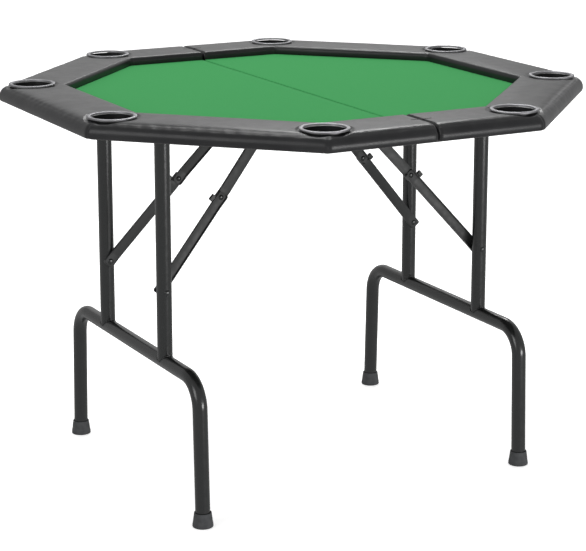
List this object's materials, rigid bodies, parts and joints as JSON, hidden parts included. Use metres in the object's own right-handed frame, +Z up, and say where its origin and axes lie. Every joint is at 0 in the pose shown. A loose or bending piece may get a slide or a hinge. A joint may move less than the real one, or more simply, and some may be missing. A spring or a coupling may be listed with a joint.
{
  "type": "folding card table",
  "caption": "Eight-sided card table that folds in half, with a padded rail, felt playing surface, cup holders, hinged steel leg frames and folding braces.",
  "frame": {"origin": "on the floor, under the middle of the top", "axes": "+Z up; Y along the fold line; +X towards the half that lifts when the top folds"},
  "size_m": [1.07, 1.07, 0.765],
  "materials": {
    "felt": "short flat felt",
    "vinyl": "padded imitation leather, fine grain",
    "board": "dark stained fibreboard, a guess: it is not seen",
    "cup": "black with a pale rim",
    "black_steel": "satin black coating",
    "bright_steel": "plain plated",
    "rubber": "matt moulded"
  },
  "bodies": {
    "left_half": {"left_board": "board", "left_felt": "felt", "left_rail": "vinyl", "left_cup_1": "cup", "left_cup_2": "cup", "left_cup_3": "cup", "left_cup_4": "cup", "left_front_leg_bracket": "black_steel", "left_front_brace_bracket": "black_steel", "left_front_seam_catch": "bright_steel", "left_front_hinge_leaf": "bright_steel", "left_back_leg_bracket": "black_steel", "left_back_brace_bracket": "black_steel", "left_back_seam_catch": "bright_steel", "left_back_hinge_leaf": "bright_steel"},
    "left_leg_frame": {"left_leg_rod": "black_steel", "left_leg_tube": "black_steel", "left_front_upright": "black_steel", "left_front_brace_rivet": "black_steel", "left_front_foot": "rubber", "left_back_upright": "black_steel", "left_back_brace_rivet": "black_steel", "left_back_foot": "rubber"},
    "left_front_lower_brace": {"left_front_lower_link": "black_steel"},
    "left_front_upper_brace": {"left_front_upper_link": "black_steel"},
    "left_front_catch": {"left_front_lock_catch": "black_steel"},
    "left_back_lower_brace": {"left_back_lower_link": "black_steel"},
    "left_back_upper_brace": {"left_back_upper_link": "black_steel"},
    "left_back_catch": {"left_back_lock_catch": "black_steel"},
    "right_half": {"right_board": "board", "right_felt": "felt", "right_rail": "vinyl", "right_cup_1": "cup", "right_cup_2": "cup", "right_cup_3": "cup", "right_cup_4": "cup", "right_front_leg_bracket": "black_steel", "right_front_brace_bracket": "black_steel", "right_front_seam_catch": "bright_steel", "right_front_hinge_leaf": "bright_steel", "right_back_leg_bracket": "black_steel", "right_back_brace_bracket": "black_steel", "right_back_seam_catch": "bright_steel", "right_back_hinge_leaf": "bright_steel"},
    "right_leg_frame": {"right_leg_rod": "black_steel", "right_leg_tube": "black_steel", "right_front_upright": "black_steel", "right_front_brace_rivet": "black_steel", "right_front_foot": "rubber", "right_back_upright": "black_steel", "right_back_brace_rivet": "black_steel", "right_back_foot": "rubber"},
    "right_front_lower_brace": {"right_front_lower_link": "black_steel"},
    "right_front_upper_brace": {"right_front_upper_link": "black_steel"},
    "right_front_catch": {"right_front_lock_catch": "black_steel"},
    "right_back_lower_brace": {"right_back_lower_link": "black_steel"},
    "right_back_upper_brace": {"right_back_upper_link": "black_steel"},
    "right_back_catch": {"right_back_lock_catch": "black_steel"},
    "hinge_links": {"front_hinge_link": "bright_steel", "back_hinge_link": "bright_steel"}
  },
  "joints": [
    {"name": "hinge_link_turn", "type": "hinge", "parent": "left_half", "child": "hinge_links", "pos_m": [-0.016, 0, 0.75], "axis": [0, -1, 0], "range_deg": [0, 90]},
    {"name": "top_fold", "type": "hinge", "parent": "hinge_links", "child": "right_half", "pos_m": [0.016, 0, 0.75], "axis": [0, -1, 0], "range_deg": [0, 90]},
    {"name": "left_leg_fold", "type": "hinge", "parent": "left_half", "child": "left_leg_frame", "pos_m": [-0.35, 0, 0.713], "axis": [0, -1, 0], "range_deg": [0, 84]},
    {"name": "left_front_upper_brace_turn", "type": "hinge", "parent": "left_half", "child": "left_front_upper_brace", "pos_m": [-0.082, -0.067, 0.713], "axis": [0, -1, 0], "range_deg": [-17, 0]},
    {"name": "left_front_lower_brace_turn", "type": "hinge", "parent": "left_leg_frame", "child": "left_front_lower_brace", "pos_m": [-0.35, -0.117, 0.41], "axis": [0, -1, 0], "range_deg": [0, 68]},
    {"name": "left_front_catch_slide", "type": "slide", "parent": "left_front_lower_brace", "child": "left_front_catch", "axis": [0.6625, 0, 0.749], "range_m": [0, 0.006], "stiffness_N_per_m": 80, "springref_m": -0.002},
    {"name": "left_back_upper_brace_turn", "type": "hinge", "parent": "left_half", "child": "left_back_upper_brace", "pos_m": [-0.082, 0.067, 0.713], "axis": [0, -1, 0], "range_deg": [-17, 0]},
    {"name": "left_back_lower_brace_turn", "type": "hinge", "parent": "left_leg_frame", "child": "left_back_lower_brace", "pos_m": [-0.35, 0.117, 0.41], "axis": [0, -1, 0], "range_deg": [0, 68]},
    {"name": "left_back_catch_slide", "type": "slide", "parent": "left_back_lower_brace", "child": "left_back_catch", "axis": [0.6625, 0, 0.749], "range_m": [0, 0.006], "stiffness_N_per_m": 80, "springref_m": -0.002},
    {"name": "right_leg_fold", "type": "hinge", "parent": "right_half", "child": "right_leg_frame", "pos_m": [0.35, 0, 0.713], "axis": [0, 1, 0], "range_deg": [0, 84]},
    {"name": "right_front_upper_brace_turn", "type": "hinge", "parent": "right_half", "child": "right_front_upper_brace", "pos_m": [0.082, -0.067, 0.713], "axis": [0, 1, 0], "range_deg": [-17, 0]},
    {"name": "right_front_lower_brace_turn", "type": "hinge", "parent": "right_leg_frame", "child": "right_front_lower_brace", "pos_m": [0.35, -0.117, 0.41], "axis": [0, 1, 0], "range_deg": [0, 68]},
    {"name": "right_front_catch_slide", "type": "slide", "parent": "right_front_lower_brace", "child": "right_front_catch", "axis": [-0.6625, 0, 0.749], "range_m": [0, 0.006], "stiffness_N_per_m": 80, "springref_m": -0.002},
    {"name": "right_back_upper_brace_turn", "type": "hinge", "parent": "right_half", "child": "right_back_upper_brace", "pos_m": [0.082, 0.067, 0.713], "axis": [0, 1, 0], "range_deg": [-17, 0]},
    {"name": "right_back_lower_brace_turn", "type": "hinge", "parent": "right_leg_frame", "child": "right_back_lower_brace", "pos_m": [0.35, 0.117, 0.41], "axis": [0, 1, 0], "range_deg": [0, 68]},
    {"name": "right_back_catch_slide", "type": "slide", "parent": "right_back_lower_brace", "child": "right_back_catch", "axis": [-0.6625, 0, 0.749], "range_m": [0, 0.006], "stiffness_N_per_m": 80, "springref_m": -0.002}
  ],
  "couplings": [
    {"joint": "hinge_link_turn", "follows": "top_fold", "ratio": 1},
    {"joint": "left_front_upper_brace_turn", "follows": "left_leg_fold", "ratio": -0.19421},
    {"joint": "left_front_lower_brace_turn", "follows": "left_leg_fold", "ratio": 0.803},
    {"joint": "left_back_upper_brace_turn", "follows": "left_leg_fold", "ratio": -0.19421},
    {"joint": "left_back_lower_brace_turn", "follows": "left_leg_fold", "ratio": 0.803},
    {"joint": "right_front_upper_brace_turn", "follows": "right_leg_fold", "ratio": -0.19421},
    {"joint": "right_front_lower_brace_turn", "follows": "right_leg_fold", "ratio": 0.803},
    {"joint": "right_back_upper_brace_turn", "follows": "right_leg_fold", "ratio": -0.19421},
    {"joint": "right_back_lower_brace_turn", "follows": "right_leg_fold", "ratio": 0.803}
  ]
}
